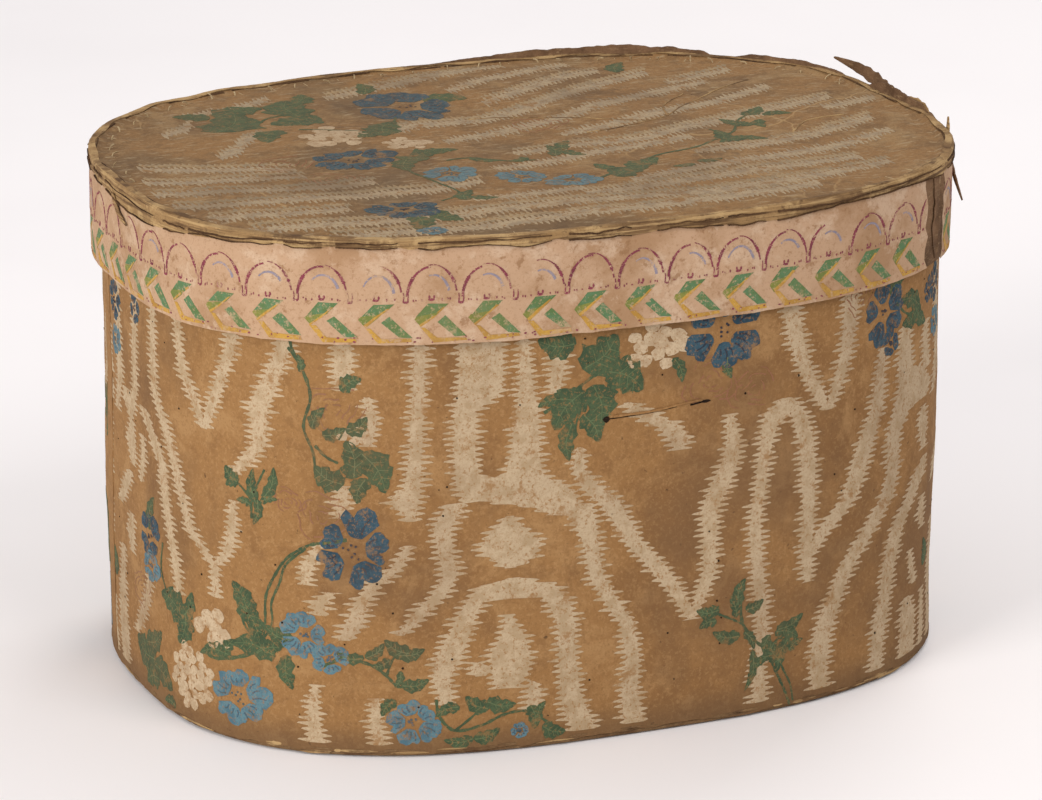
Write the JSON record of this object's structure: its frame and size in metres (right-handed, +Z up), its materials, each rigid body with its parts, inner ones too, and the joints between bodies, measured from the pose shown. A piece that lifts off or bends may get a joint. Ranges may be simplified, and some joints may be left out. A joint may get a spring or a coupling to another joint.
{
  "type": "hat box",
  "caption": "Oval pasteboard hat box with a lift-off lid, sewn with linen thread and covered in block-printed wallpaper.",
  "frame": {"origin": "on the table, under the middle of the base", "axes": "+Z up, X along the oval's long side, -Y towards the front"},
  "size_m": [0.464, 0.356, 0.284],
  "materials": {
    "pasteboard": "matt, fibrous",
    "wallpaper": "matt distemper print on an ochre ground",
    "border_paper": "matt distemper print on a pale pink ground",
    "lining_paper": "matt, yellowed",
    "thread": "waxed linen thread"
  },
  "bodies": {
    "box": {"base_board": "pasteboard", "side_board": "pasteboard", "base_thread": "thread", "side_seam_thread": "thread", "side_paper": "wallpaper", "side_lining": "lining_paper", "base_lining": "lining_paper"},
    "lid": {"lid_board": "pasteboard", "rim_board": "pasteboard", "lid_thread": "thread", "rim_seam_thread": "thread", "lid_paper": "wallpaper", "rim_paper": "border_paper", "lid_lining": "lining_paper", "rim_lining": "lining_paper"}
  },
  "joints": [
    {"name": "lid_lift", "type": "slide", "parent": "box", "child": "lid", "axis": [0, 0, 1], "range_m": [0, 0.3]}
  ]
}
